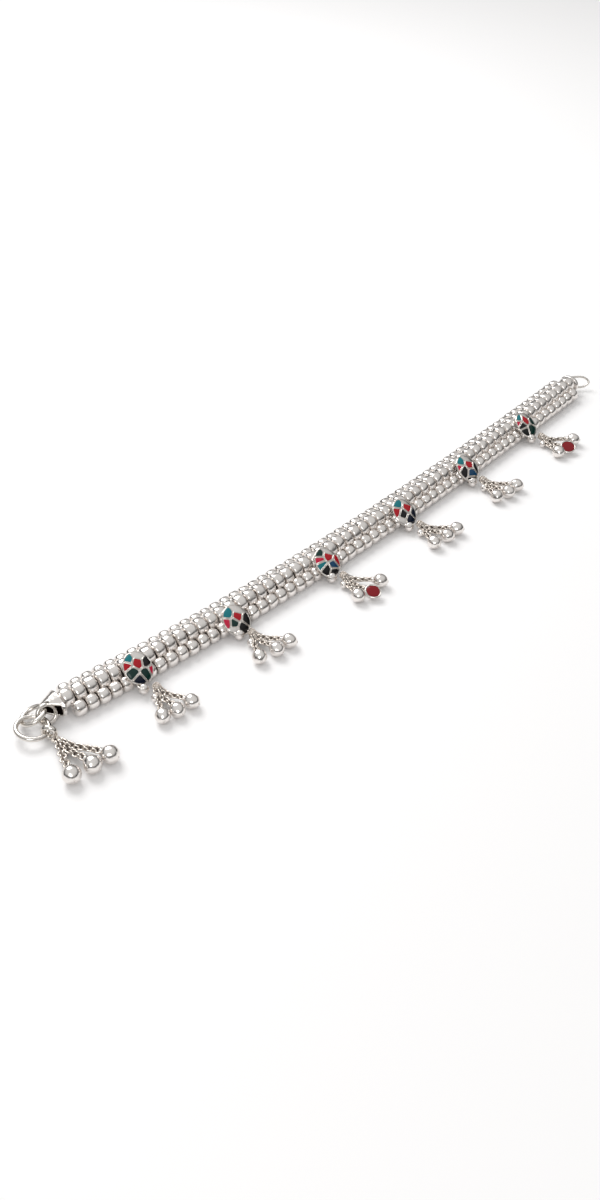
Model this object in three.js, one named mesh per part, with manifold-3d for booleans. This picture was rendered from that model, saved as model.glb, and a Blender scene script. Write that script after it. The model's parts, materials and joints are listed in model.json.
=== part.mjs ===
// A payal anklet: three rows of hollow silver beads threaded side by side, six enamelled plates
// on its front shoulder, each with a tassel of three bells, a ring end with a larger tassel, and a
// wire hook. It lies open on a flat surface at z = 0, with its length along X and its tassels
// towards -Y. Millimetres throughout.
import * as THREE from "three";
import { mergeVertices } from "three/addons/utils/BufferGeometryUtils.js";
import Module from "manifold-3d";

const wasm = await Module();
wasm.setup();

// ---- Driving dimensions ----------------------------------------------------------------------

// The strap's line on the surface: how many beads, how far apart, and how it bends.
const PITCH = 3.7; // from one bead to the next along a thread
const BEADS = 62; // in each outer row; the middle row has one more
const STRAP = 229.4; // the threads between the two end caps
const BEND = 0.00151; // curvature at the ring end, 1/mm
const BEND_FADE = -5.85e-6; // how fast the curvature fades towards the hook, 1/mm2

// Rows of beads. The middle row is larger and rides on the two outer rows.
const SIDES = 8; // an octagon with one flat facing down
const ROUND = Math.cos(Math.PI / SIDES); // flat-to-flat size over corner-to-corner size
const OUTER_BEAD = { radius: 2.35, thread: 1.2 };
const MIDDLE_BEAD = { radius: 2.9, thread: 1.5 };
const ROW_STEP = 3.85; // sideways from one row to the next
const ROW_RISE = 2.5; // middle row above the outer rows
const BEAD_FLAT = 0.35; // half length of a bead's flat band
const MIDDLE_HEIGHT = OUTER_BEAD.radius + ROW_RISE;

// Enamelled stations, one line each: arc length along the strap, how far the plate has slipped
// down the shoulder, then the angle of each bell from straight out and its reach from the collar.
const STATIONS = [
  { at: 18.6, slip: -1.0, angles: [-26.5, -3.5, 22], reaches: [10.9, 10.5, 11.1] },
  { at: 51.8, slip: 0.8, angles: [-28, 5, 31], reaches: [10.0, 9.8, 11.2] },
  { at: 88.8, slip: 0.1, angles: [-20, 6, 34], reaches: [9.8, 11.7, 11.2] },
  { at: 124.4, slip: 0.2, angles: [-23, 10, 34], reaches: [9.6, 9.9, 11.6] },
  { at: 157.8, slip: 0.0, angles: [-26, 2, 28], reaches: [9.6, 10.0, 11.2] },
  { at: 193.0, slip: -0.2, angles: [-22, 5, 33], reaches: [10.2, 10.9, 11.0] },
];
const DISC_STATIONS = [3, 6]; // their middle bell is an enamelled disc

// The plate of a station: an oval dome on the plane that touches the middle and front rows.
const PLATE = { long: 4.7, wide: 4.2, dome: 1.7, rim: 0.7, clear: 4.55, along: -2.5 };
const PLATE_FACE = THREE.MathUtils.degToRad(50); // its normal above the horizontal
const PLATE_LOOP = { x: -1.3, out: 4.4, up: 2.0, radius: 1.65 };

// The granulated collar that gathers a tassel, the knob under it, and the point that the chains
// fan out from. "out" is measured from the front thread towards the tassels.
const COLLAR = { x: 1.5, out: 6.6, up: 2.5, radius: 1.35, half: 1.1 };
const KNOB = { x: -0.7, out: 8.7, up: 1.3, radius: 1.2 };
const FAN = { x: 1.2, out: 6.5, up: 2.2, start: 1.7 };

// Chains and what hangs on them.
const CHAIN = { radius: 0.7, sides: 5, steps: 3 };
const BELL = { radius: 2.15, neck: 0.75, length: 2.9 };
const DISC = { radius: 2.6, depth: 1.7, rim: 0.4 };

// The larger tassel on the clasp ring: where its chains meet, and its three bells.
const END_FAN = { x: -11.2, out: 3.9, up: 1.6, start: 0 };
const END_LEGS = { angles: [-21.5, 1.6, 20.4], reaches: [14.7, 14.7, 16.3] };
const END_CHAIN = { radius: 0.85, sides: 6, steps: 4 };
const END_BELL = { radius: 2.6, neck: 0.85, length: 3.5 };

// End caps, flattened cones whose axis runs along the strap, above the middle thread. The ring
// end's cap is a hollow sheet cone cut away below, so that its top is left as a pointed tongue.
const CAP_UP = 3.7;
const RING_CAP = { radius: 4.6, tip: 2.3, depth: 4.4, wall: 0.65, flatten: 0.76 };
const MOUTH = { normal: [-0.8, -0.25, -0.55], through: [-4.35, 4.8, 5.3] };
const HOOK_CAP = { radius: 3.6, tip: 1.5, depth: 2.2, flatten: 0.8 };

// Wire rings: centre, azimuth and elevation of the axis, radius to the wire's middle, and wire.
const RINGS = {
  tongue_ring: { centre: [-7.86, 3.66, 3.07], azimuth: 80.4, elevation: -23.7, radius: 2.6, wire: 0.5 },
  link_ring: { centre: [-10.57, 6.09, 2.86], azimuth: 126.2, elevation: 66.6, radius: 3.55, wire: 0.6 },
  clasp_ring: { centre: [-13.3, 2.69, 2.61], azimuth: -35.1, elevation: 82.4, radius: 4.5, wire: 0.5 },
  tassel_eyelet: { centre: [-11.23, -1.62, 2.49], azimuth: -143.7, elevation: 2.1, radius: 1.8, wire: 0.55 },
};

// The hook, one bent wire with both roots at the cap. Places are from the end of the strap.
const HOOK_WIRE = { radius: 0.38, sides: 6, steps: 20 };
const HOOK_BENDS = [
  { x: 2.85, y: 4.9, z: 4.5 },
  { x: 3.8, y: 4.7, z: 4.6 },
  { x: 6.4, y: 1.6, z: 4.6 },
  { x: 7.1, y: -0.6, z: 3.1 },
  { x: 5.1, y: 0.5, z: 1.6 },
  { x: 2.85, y: 3.1, z: 1.6 },
];
const GAP = 0.3; // between pieces that touch on the real anklet

// ---- Finishes --------------------------------------------------------------------------------

const silver = () =>
  new THREE.MeshStandardMaterial({ color: 0xe4e0dc, metalness: 1, roughness: 0.22 });
const oxidisedSilver = () =>
  new THREE.MeshStandardMaterial({ color: 0xb9b4ae, metalness: 1, roughness: 0.35 });
const enamel = () =>
  new THREE.MeshStandardMaterial({ color: 0x0f4a4c, metalness: 0.1, roughness: 0.12 });

// ---- Geometry helpers ------------------------------------------------------------------------

const root = new THREE.Group();
root.name = "payal_anklet";

/** Adds a named mesh to a parent group. */
function addMesh(parent, name, geometry, material) {
  const mesh = new THREE.Mesh(geometry, material);
  mesh.name = name;
  parent.add(mesh);
  return mesh;
}

/** A closed geometry as a manifold-3d solid. */
function solidOf(geometry) {
  const bare = geometry.clone();
  bare.deleteAttribute("normal");
  bare.deleteAttribute("uv");
  const merged = mergeVertices(bare, 1e-4);
  return new wasm.Manifold(
    new wasm.Mesh({
      numProp: 3,
      vertProperties: new Float32Array(merged.attributes.position.array),
      triVerts: new Uint32Array(merged.index.array),
    }),
  );
}

/** A manifold-3d solid as a three.js geometry. */
function geometryOf(solid) {
  const { vertProperties, triVerts, numProp } = solid.getMesh();
  const geometry = new THREE.BufferGeometry();
  geometry.setAttribute("position", new THREE.BufferAttribute(vertProperties, numProp));
  geometry.setIndex(new THREE.BufferAttribute(triVerts, 1));
  geometry.computeVertexNormals();
  return geometry;
}

/** Several closed geometries soldered into one. */
function soldered(...geometries) {
  return geometryOf(geometries.map(solidOf).reduce((whole, piece) => whole.add(piece)));
}

/** A closed geometry with others cut from it. */
function cut(geometry, ...cutters) {
  return geometryOf(cutters.map(solidOf).reduce((whole, tool) => whole.subtract(tool), solidOf(geometry)));
}

/** A round wire of the given radius along a curve, with flat ends. */
function wire(curve, radius, sides, steps) {
  const corners = Array.from({ length: sides }, (_, i) => {
    const turn = (2 * Math.PI * i) / sides;
    return new THREE.Vector2(radius * Math.cos(turn), radius * Math.sin(turn));
  });
  return new THREE.ExtrudeGeometry(new THREE.Shape(corners), {
    steps,
    bevelEnabled: false,
    extrudePath: curve,
  });
}

/** A closed ring of round wire, its axis given by azimuth and elevation in degrees. */
function ringGeometry({ centre, azimuth, elevation, radius, wire: wireRadius }) {
  const turn = THREE.MathUtils.degToRad(azimuth);
  const lift = THREE.MathUtils.degToRad(elevation);
  const axis = new THREE.Vector3(
    Math.cos(lift) * Math.cos(turn),
    Math.cos(lift) * Math.sin(turn),
    Math.sin(lift),
  );
  const geometry = new THREE.TorusGeometry(radius, wireRadius, 6, 20);
  const upright = new THREE.Vector3(0, 0, 1);
  geometry.applyQuaternion(new THREE.Quaternion().setFromUnitVectors(upright, axis));
  return geometry.translate(...centre);
}

/** A block that fills everything on the far side of a plane, for cutting. */
function beyondPlane({ normal, through }) {
  const size = 30;
  const block = new THREE.BoxGeometry(size, size, size).translate(0, 0, size / 2);
  const upright = new THREE.Vector3(0, 0, 1);
  const facing = new THREE.Vector3(...normal).normalize();
  block.applyQuaternion(new THREE.Quaternion().setFromUnitVectors(upright, facing));
  return block.translate(...through);
}

// ---- The strap's line ------------------------------------------------------------------------

/** Heading of the strap at arc length s; its two ends then lie on the X axis. */
function heading(s) {
  const start = -((BEND * STRAP) / 2 + (BEND_FADE * STRAP ** 2) / 6);
  return start + BEND * s + (BEND_FADE * s ** 2) / 2;
}

/** The point of the front thread at arc length s, on the surface, by Simpson's rule. */
function lineAt(s) {
  const steps = 24;
  const point = new THREE.Vector3();
  for (let i = 0; i <= steps; i++) {
    const weight = i === 0 || i === steps ? 1 : i % 2 ? 4 : 2;
    const angle = heading((s * i) / steps);
    point.x += (weight * Math.cos(angle) * s) / (3 * steps);
    point.y += (weight * Math.sin(angle) * s) / (3 * steps);
  }
  return point;
}

/** Group whose X runs along the strap at s, whose -Y points out to the tassels, and whose Z is up. */
function strapGroup(s) {
  const group = new THREE.Group();
  group.position.copy(lineAt(s));
  group.rotation.z = heading(s);
  root.add(group);
  return group;
}

// ---- Rows of beads ---------------------------------------------------------------------------

/** A thread of beads as one lathed string, bent along the strap's line. */
function beadRow(name, { radius, thread }, first, count, sideways, height) {
  const corner = radius / ROUND;
  const profile = [new THREE.Vector2(0, first - PITCH / 2)];
  for (let i = 0; i < count; i++) {
    const centre = first + i * PITCH;
    profile.push(new THREE.Vector2(thread, centre - PITCH / 2));
    profile.push(new THREE.Vector2(corner, centre - BEAD_FLAT));
    profile.push(new THREE.Vector2(corner, centre + BEAD_FLAT));
  }
  const end = first + (count - 0.5) * PITCH;
  profile.push(new THREE.Vector2(thread, end), new THREE.Vector2(0, end));
  const geometry = new THREE.LatheGeometry(profile, SIDES, Math.PI / SIDES);
  const position = geometry.attributes.position;
  for (let i = 0; i < position.count; i++) {
    const s = position.getY(i);
    const bent = lineAt(s);
    const across = sideways + position.getX(i);
    bent.x -= across * Math.sin(heading(s));
    bent.y += across * Math.cos(heading(s));
    bent.z = height - position.getZ(i);
    position.setXYZ(i, bent.x, bent.y, bent.z);
  }
  geometry.computeVertexNormals();
  addMesh(root, name, geometry, silver());
}

beadRow("bead_row_front", OUTER_BEAD, 0, BEADS, 0, OUTER_BEAD.radius);
beadRow("bead_row_middle", MIDDLE_BEAD, -PITCH / 2, BEADS + 1, ROW_STEP, MIDDLE_HEIGHT);
beadRow("bead_row_back", OUTER_BEAD, 0, BEADS, 2 * ROW_STEP, OUTER_BEAD.radius);

// ---- Tassels ---------------------------------------------------------------------------------

/** A bell lying down: a ball on an octagon with a short neck towards +Y, centred on the origin. */
function bellGeometry({ radius, neck, length }) {
  const bands = 4;
  const opening = Math.asin(neck / radius);
  const profile = [new THREE.Vector2(0, -radius)];
  for (let i = 1; i <= bands; i++) {
    const angle = ((Math.PI - opening) * i) / bands;
    profile.push(new THREE.Vector2((radius / ROUND) * Math.sin(angle), -radius * Math.cos(angle)));
  }
  profile.push(new THREE.Vector2(neck, length), new THREE.Vector2(0, length));
  return new THREE.LatheGeometry(profile, SIDES, Math.PI / SIDES);
}

/** A round bezel cup for enamel, its face to +Z, standing on the plane z = 0. */
function discGeometry({ radius, depth, rim }) {
  const profile = [
    new THREE.Vector2(0, 0),
    new THREE.Vector2(0.6 * radius, 0.2 * depth),
    new THREE.Vector2(radius, depth),
    new THREE.Vector2(radius, depth + rim),
    new THREE.Vector2(0, depth + rim),
  ];
  return new THREE.LatheGeometry(profile, 12).rotateX(Math.PI / 2);
}

/** A tassel in a group's frame: chains that fan out from a point, and a piece on the end of each. */
function tassel(group, prefix, fan, { angles, reaches }, chain, bell, { disc = false, knob = null } = {}) {
  const strands = [];
  angles.forEach((degrees, i) => {
    const angle = THREE.MathUtils.degToRad(degrees);
    const along = (distance, height) =>
      new THREE.Vector3(
        fan.x + distance * Math.sin(angle),
        -fan.out - distance * Math.cos(angle),
        height,
      );
    const isDisc = disc && i === 1;
    const neck = isDisc ? DISC.radius : bell.length;
    const end = along(reaches[i] - neck - GAP, isDisc ? DISC.depth : bell.radius);
    strands.push(
      wire(new THREE.LineCurve3(along(fan.start, fan.up), end), chain.radius, chain.sides, chain.steps),
    );
    const place = along(reaches[i], isDisc ? 0 : bell.radius);
    const name = `${prefix}_${isDisc ? "disc" : "bell"}_${i + 1}`;
    const shape = isDisc ? discGeometry(DISC) : bellGeometry(bell);
    const piece = addMesh(group, name, shape, isDisc ? enamel() : silver());
    piece.position.copy(place);
    piece.rotation.z = angle;
  });
  if (knob) {
    const ball = new THREE.SphereGeometry(knob.radius, 8, 6);
    strands.push(ball.translate(knob.x, -knob.out, knob.up));
  }
  addMesh(group, `${prefix}_chains`, soldered(...strands), oxidisedSilver());
}

// ---- Enamelled stations ----------------------------------------------------------------------

/** A domed oval plate, lying on XY with its face to +Z and its long side along Y. */
function plateGeometry() {
  const profile = [
    new THREE.Vector2(0, 0),
    new THREE.Vector2(0.94, 0),
    new THREE.Vector2(1, PLATE.rim / 2),
    new THREE.Vector2(0.96, PLATE.rim),
    new THREE.Vector2(0.62, 0.75 * PLATE.dome),
    new THREE.Vector2(0, PLATE.dome),
  ];
  const geometry = new THREE.LatheGeometry(profile, 14);
  geometry.rotateX(Math.PI / 2);
  return geometry.scale(PLATE.wide, PLATE.long, 1);
}

/** The plate with the silver loop soldered under its lower edge, in the strap group's frame. */
function stationPlate(slip) {
  const down = PLATE.along + slip;
  const out = PLATE.clear * Math.cos(PLATE_FACE) + down * Math.sin(PLATE_FACE);
  const up = PLATE.clear * Math.sin(PLATE_FACE) - down * Math.cos(PLATE_FACE);
  const plate = plateGeometry();
  plate.rotateX(Math.PI / 2 - PLATE_FACE);
  plate.translate(0, -out, up);
  const loop = new THREE.SphereGeometry(PLATE_LOOP.radius, 9, 6);
  loop.translate(PLATE_LOOP.x, -PLATE_LOOP.out, PLATE_LOOP.up);
  return soldered(plate, loop);
}

/** The barrel-shaped collar that gathers the chains, its axis along Y. */
function collarGeometry({ radius, half }) {
  const profile = [
    new THREE.Vector2(0, -half),
    new THREE.Vector2(0.75 * radius, -half),
    new THREE.Vector2(radius, 0),
    new THREE.Vector2(0.75 * radius, half),
    new THREE.Vector2(0, half),
  ];
  return new THREE.LatheGeometry(profile, 9);
}

STATIONS.forEach(({ at, slip, angles, reaches }, i) => {
  const number = i + 1;
  const group = strapGroup(at);
  addMesh(group, `station_${number}_plate`, stationPlate(slip), enamel());
  const collar = addMesh(group, `station_${number}_collar`, collarGeometry(COLLAR), oxidisedSilver());
  collar.position.set(COLLAR.x, -COLLAR.out, COLLAR.up);
  const options = { disc: DISC_STATIONS.includes(number), knob: KNOB };
  tassel(group, `station_${number}`, FAN, { angles, reaches }, CHAIN, BELL, options);
});

// ---- Ring end --------------------------------------------------------------------------------

/** The hollow cap with its tongue, in the group's frame; the tongue ring's path is cut through it. */
function ringCap(group) {
  const { radius, tip, depth, wall, flatten } = RING_CAP;
  const profile = [
    new THREE.Vector2(0, 0),
    new THREE.Vector2(radius, 0),
    new THREE.Vector2(tip, depth),
    new THREE.Vector2(tip - wall, depth),
    new THREE.Vector2(radius - wall, wall),
    new THREE.Vector2(0, wall),
  ];
  const cone = new THREE.LatheGeometry(profile, 20);
  cone.rotateZ(Math.PI / 2);
  cone.scale(1, 1, flatten);
  cone.translate(0, ROW_STEP, CAP_UP);
  const ring = RINGS.tongue_ring;
  const passage = ringGeometry({ ...ring, wire: ring.wire + GAP });
  group.updateMatrixWorld();
  passage.applyMatrix4(group.matrixWorld.clone().invert());
  return cut(cone, beyondPlane(MOUTH), passage);
}

const ringEnd = strapGroup(-PITCH - GAP);
addMesh(ringEnd, "ring_end_cap", ringCap(ringEnd), silver());
for (const [name, size] of Object.entries(RINGS)) {
  addMesh(root, name, ringGeometry(size), silver());
}
tassel(root, "end_tassel", END_FAN, END_LEGS, END_CHAIN, END_BELL);

// ---- Hook end --------------------------------------------------------------------------------

/** The closed cap, a flattened dome whose axis runs along +X. */
function hookCap({ radius, tip, depth, flatten }) {
  const profile = [
    new THREE.Vector2(0, 0),
    new THREE.Vector2(radius, 0),
    new THREE.Vector2(radius, 0.3 * depth),
    new THREE.Vector2(0.75 * radius, 0.75 * depth),
    new THREE.Vector2(tip, depth),
    new THREE.Vector2(0, depth),
  ];
  return new THREE.LatheGeometry(profile, 16).rotateZ(-Math.PI / 2).scale(1, 1, flatten);
}

const hookEnd = strapGroup(STRAP + GAP);
const closedCap = addMesh(hookEnd, "hook_end_cap", hookCap(HOOK_CAP), silver());
closedCap.position.set(0, ROW_STEP, CAP_UP);
const bends = HOOK_BENDS.map(({ x, y, z }) => new THREE.Vector3(x, y, z));
const hookPath = new THREE.CatmullRomCurve3(bends);
const { radius: hookRadius, sides: hookSides, steps: hookSteps } = HOOK_WIRE;
addMesh(hookEnd, "hook", wire(hookPath, hookRadius, hookSides, hookSteps), silver());

// The origin is the middle of the anklet's box, on the surface it lies on.
const box = new THREE.Box3().setFromObject(root);
const middle = box.getCenter(new THREE.Vector3());
root.position.set(-middle.x, -middle.y, -box.min.z);

export default root;
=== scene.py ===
"""A silver payal anklet lying open: rows of hollow beads, enamelled stations with bell tassels,
a ring end with a larger tassel, and a wire hook.

Sizes in this script are millimetres in the strap's own frame: X along the strap from the ring end,
-Y towards the tassels, +Z up, with the first front bead over the origin. Meshes are written in
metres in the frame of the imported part.
"""

import json
import logging
import math
from dataclasses import dataclass, field
from enum import Enum
from typing import Any, Iterable, Sequence

import bpy
from mathutils import Matrix, Vector, noise


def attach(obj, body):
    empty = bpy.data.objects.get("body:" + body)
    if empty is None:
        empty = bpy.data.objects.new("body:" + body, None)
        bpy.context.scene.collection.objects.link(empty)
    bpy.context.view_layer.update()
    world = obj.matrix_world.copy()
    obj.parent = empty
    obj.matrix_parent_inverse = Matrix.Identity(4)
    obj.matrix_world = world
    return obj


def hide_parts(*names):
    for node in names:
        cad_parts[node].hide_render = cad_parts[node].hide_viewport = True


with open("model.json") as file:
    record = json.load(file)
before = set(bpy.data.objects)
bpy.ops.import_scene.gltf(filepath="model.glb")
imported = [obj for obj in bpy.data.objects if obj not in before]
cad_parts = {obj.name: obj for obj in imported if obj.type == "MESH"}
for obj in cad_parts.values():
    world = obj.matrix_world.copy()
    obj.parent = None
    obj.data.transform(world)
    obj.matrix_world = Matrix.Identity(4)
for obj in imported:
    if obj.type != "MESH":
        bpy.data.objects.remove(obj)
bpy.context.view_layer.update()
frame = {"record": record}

LOG = logging.getLogger("payal")
MM = 0.001
BODY = "root"

# The strap's line, as in the part: bead pitch, curvature at the ring end and how it fades.
PITCH = 3.7
BEADS = 62
STRAP = 229.4
BEND = 0.00151
BEND_FADE = -5.85e-6
RESTING_BEAD = 30  # the front bead whose lower flat is the part's resting mount
ROW_STEP = 3.85
CAP_GAP = 0.3

Point = tuple[float, float, float]
Face = tuple[int, ...]


# ---- The strap's line ----


def heading(s: float) -> float:
    """Heading of the strap at an arc length.

    Args:
        s: Arc length from the first front bead, in millimetres.

    Returns:
        The angle from +X in radians.
    """
    start = -((BEND * STRAP) / 2 + (BEND_FADE * STRAP**2) / 6)
    return start + BEND * s + (BEND_FADE * s**2) / 2


def line_at(s: float) -> Vector:
    """The front thread's point on the surface at an arc length, by Simpson's rule.

    Args:
        s: Arc length from the first front bead, in millimetres.

    Returns:
        The point, in millimetres, from the first front bead.
    """
    steps = 24
    point = Vector((0.0, 0.0, 0.0))
    for i in range(steps + 1):
        weight = 1 if i in (0, steps) else (4 if i % 2 else 2)
        angle = heading(s * i / steps)
        point.x += weight * math.cos(angle) * s / (3 * steps)
        point.y += weight * math.sin(angle) * s / (3 * steps)
    return point


def strap_origin() -> Vector:
    """Where the first front bead stands in the part's frame, in millimetres."""
    mount = frame["record"]["mounts"][0]["pos_m"]
    return Vector(mount) / MM - line_at(RESTING_BEAD * PITCH)


ORIGIN = strap_origin()


def strap_frame(s: float) -> Matrix:
    """The frame at an arc length: X along the strap, -Y out to the tassels, Z up.

    Args:
        s: Arc length from the first front bead, in millimetres.

    Returns:
        The matrix from that frame to the part's frame, in millimetres.
    """
    return Matrix.Translation(ORIGIN + line_at(s)) @ Matrix.Rotation(heading(s), 4, "Z")


# ---- Node trees ----


def add_node(
    tree: bpy.types.NodeTree,
    kind: str,
    links: dict[Any, bpy.types.NodeSocket] | None = None,
    values: dict[Any, Any] | None = None,
    **settings: Any,
) -> bpy.types.Node:
    """Adds a node with its settings, values and incoming links.

    Args:
        tree: The node tree.
        kind: The node's type name.
        links: Input name or index to the socket that feeds it.
        values: Input name or index to its value.
        settings: Properties of the node itself.

    Returns:
        The new node.
    """
    node = tree.nodes.new(kind)
    for key, value in settings.items():
        setattr(node, key, value)
    for key, value in (values or {}).items():
        node.inputs[key].default_value = value
    for key, socket in (links or {}).items():
        tree.links.new(socket, node.inputs[key])
    return node


def linear(hex_colour: int) -> tuple[float, float, float, float]:
    """An sRGB hex colour as linear light.

    Args:
        hex_colour: The colour, such as 0xE4E0DC.

    Returns:
        Red, green, blue and alpha.
    """
    channels = [((hex_colour >> shift) & 255) / 255 for shift in (16, 8, 0)]
    light = [c / 12.92 if c <= 0.04045 else ((c + 0.055) / 1.055) ** 2.4 for c in channels]
    return (light[0], light[1], light[2], 1.0)


# ---- Finishes ----


@dataclass(frozen=True)
class Finish:
    """A surface finish, built once as a node material."""

    name: str

    def material(self) -> bpy.types.Material:
        """Builds the node material.

        Returns:
            The material, or the one that is there already.
        """
        made = bpy.data.materials.get(self.name)
        if made:
            return made
        made = bpy.data.materials.new(self.name)
        made.use_nodes = True
        tree = made.node_tree
        tree.nodes.clear()
        place = add_node(tree, "ShaderNodeTexCoord").outputs["Object"]
        surface = self.surface(tree, place)
        add_node(tree, "ShaderNodeOutputMaterial", {"Surface": surface})
        return made

    def surface(
        self, tree: bpy.types.NodeTree, place: bpy.types.NodeSocket
    ) -> bpy.types.NodeSocket:
        """Adds the finish's own nodes.

        Args:
            tree: The material's tree.
            place: Object coordinates.

        Returns:
            The shader's output.
        """
        raise NotImplementedError


def noise_over(
    tree: bpy.types.NodeTree, place: bpy.types.NodeSocket, size: float, **values: float
) -> bpy.types.NodeSocket:
    """Adds a noise texture.

    Args:
        tree: The tree.
        place: Coordinates to follow.
        size: Distance between its spots, in millimetres.
        values: Its other inputs.

    Returns:
        The noise, from 0 to 1.
    """
    inputs = {"Scale": 1 / (size * MM), **{k.title(): v for k, v in values.items()}}
    return add_node(tree, "ShaderNodeTexNoise", {"Vector": place}, inputs).outputs["Fac"]


@dataclass(frozen=True)
class Silver(Finish):
    """Sterling silver, hammered or cast and then polished, with dents and a thin tarnish.

    The dents break the highlights into patches, and the tarnish warms it in random patches.
    """

    bright: int = 0xECE7E3
    tarnish: int = 0xB5A79C
    tarnished: float = 0.35  # share of the surface that has some tarnish
    roughness: float = 0.2
    dent_size: float = 1.1  # between dents
    dent_depth: float = 0.07
    scratch_size: float = 0.35
    scratch_depth: float = 0.02
    patch_size: float = 3.2  # between patches of tarnish

    def surface(
        self, tree: bpy.types.NodeTree, place: bpy.types.NodeSocket
    ) -> bpy.types.NodeSocket:
        """Adds tarnish in patches over dented, finely scratched silver.

        Args:
            tree: The material's tree.
            place: Object coordinates.

        Returns:
            The shader's output.
        """
        dents = noise_over(tree, place, self.dent_size, detail=2.0, roughness=0.45)
        scratches = noise_over(tree, place, self.scratch_size, detail=3.0)
        patches = noise_over(tree, place, self.patch_size, detail=4.0, roughness=0.6)
        share = add_node(
            tree, "ShaderNodeMapRange", {"Value": patches},
            {"From Min": 1 - self.tarnished, "From Max": 1.1 - 0.5 * self.tarnished},
        )
        colour = add_node(
            tree, "ShaderNodeMix", {"Factor": share.outputs["Result"]},
            {"A": linear(self.bright), "B": linear(self.tarnish)}, data_type="RGBA",
        )
        rough = add_node(
            tree, "ShaderNodeMapRange", {"Value": scratches},
            {"To Min": self.roughness * 0.6, "To Max": self.roughness * 1.6},
        )
        coarse = add_node(
            tree, "ShaderNodeBump", {"Height": dents},
            {"Strength": 1.0, "Distance": self.dent_depth * MM},
        )
        fine = add_node(
            tree, "ShaderNodeBump", {"Height": scratches, "Normal": coarse.outputs["Normal"]},
            {"Strength": 0.35, "Distance": self.scratch_depth * MM},
        )
        return add_node(
            tree, "ShaderNodeBsdfPrincipled",
            {
                "Base Color": colour.outputs["Result"],
                "Roughness": rough.outputs["Result"],
                "Normal": fine.outputs["Normal"],
            },
            {"Metallic": 1.0},
        ).outputs["BSDF"]


@dataclass(frozen=True)
class Glaze(Finish):
    """Vitreous enamel, ground glass fused in its cell: glossy, with fine frit in its colour."""

    colour: int
    frit: int
    grain: float = 0.28  # drawn coarser than real frit so that it shows
    ripple: float = 0.02

    def surface(
        self, tree: bpy.types.NodeTree, place: bpy.types.NodeSocket
    ) -> bpy.types.NodeSocket:
        """Adds specks of frit in a rippled, glossy glass.

        Args:
            tree: The material's tree.
            place: Object coordinates.

        Returns:
            The shader's output.
        """
        frit = noise_over(tree, place, self.grain, detail=3.0, roughness=0.7)
        speck = add_node(
            tree, "ShaderNodeMapRange", {"Value": frit},
            {"From Min": 0.5, "From Max": 0.85, "To Max": 0.3},
        )
        colour = add_node(
            tree, "ShaderNodeMix", {"Factor": speck.outputs["Result"]},
            {"A": linear(self.colour), "B": linear(self.frit)}, data_type="RGBA",
        )
        ripple = add_node(
            tree, "ShaderNodeBump", {"Height": frit},
            {"Strength": 0.3, "Distance": self.ripple * MM},
        )
        return add_node(
            tree, "ShaderNodeBsdfPrincipled",
            {"Base Color": colour.outputs["Result"], "Normal": ripple.outputs["Normal"]},
            {"Roughness": 0.12, "IOR": 1.5, "Specular IOR Level": 0.35},
        ).outputs["BSDF"]


POLISHED = Silver("polished_silver_bead")
WIRE = Silver(
    "drawn_silver_wire", bright=0xDFDAD4, roughness=0.15, dent_size=2.4, dent_depth=0.05,
    tarnished=0.25,
)
SHEET = Silver("silver_sheet", roughness=0.2, dent_size=1.6, dent_depth=0.07, tarnish=0x8C7A6C)
GRANULES = Silver(
    "oxidised_silver_granules", bright=0xDCD4CC, tarnish=0x3A322C, tarnished=0.45,
    roughness=0.22, dent_size=0.7, dent_depth=0.04,
)
# Dark silver for the cap's inner sheet: painted shade inside the hollow cap.
PAINTED_SHADE_INSIDE = Silver(
    "silver_inside_painted_shade", bright=0x4A3028, tarnish=0x1C100C, tarnished=0.6, roughness=0.5,
)
# Dark silver for the threads: painted shade for the gaps between beads and the hollows of the
# chains.
PAINTED_SHADE_THREAD = Silver(
    "silver_thread_painted_shade", bright=0x6E655E, tarnish=0x2B2521, tarnished=0.7, roughness=0.4,
)


class Enamel(Enum):
    """The enamels of the plates, and the places that are left bare."""

    TEAL = Glaze("teal_enamel", 0x0B6F78, 0x3FB0AE)
    SEA = Glaze("sea_blue_enamel", 0x063C60, 0x2B7FA0)
    RED = Glaze("red_enamel", 0xA80417, 0xD8314A)
    GARNET = Glaze("garnet_enamel", 0x7A0612, 0xA81C2A)
    ROSE = Glaze("rose_enamel", 0xC0143A, 0xE98AA0)
    GREEN = Glaze("green_enamel", 0x022A25, 0x1A6A5A)
    NAVY = Glaze("navy_enamel", 0x040E20, 0x24466B)
    BLACK = Glaze("black_enamel", 0x060506, 0x3A3438)
    BARE = None


# ---- Mesh making ----


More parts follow.
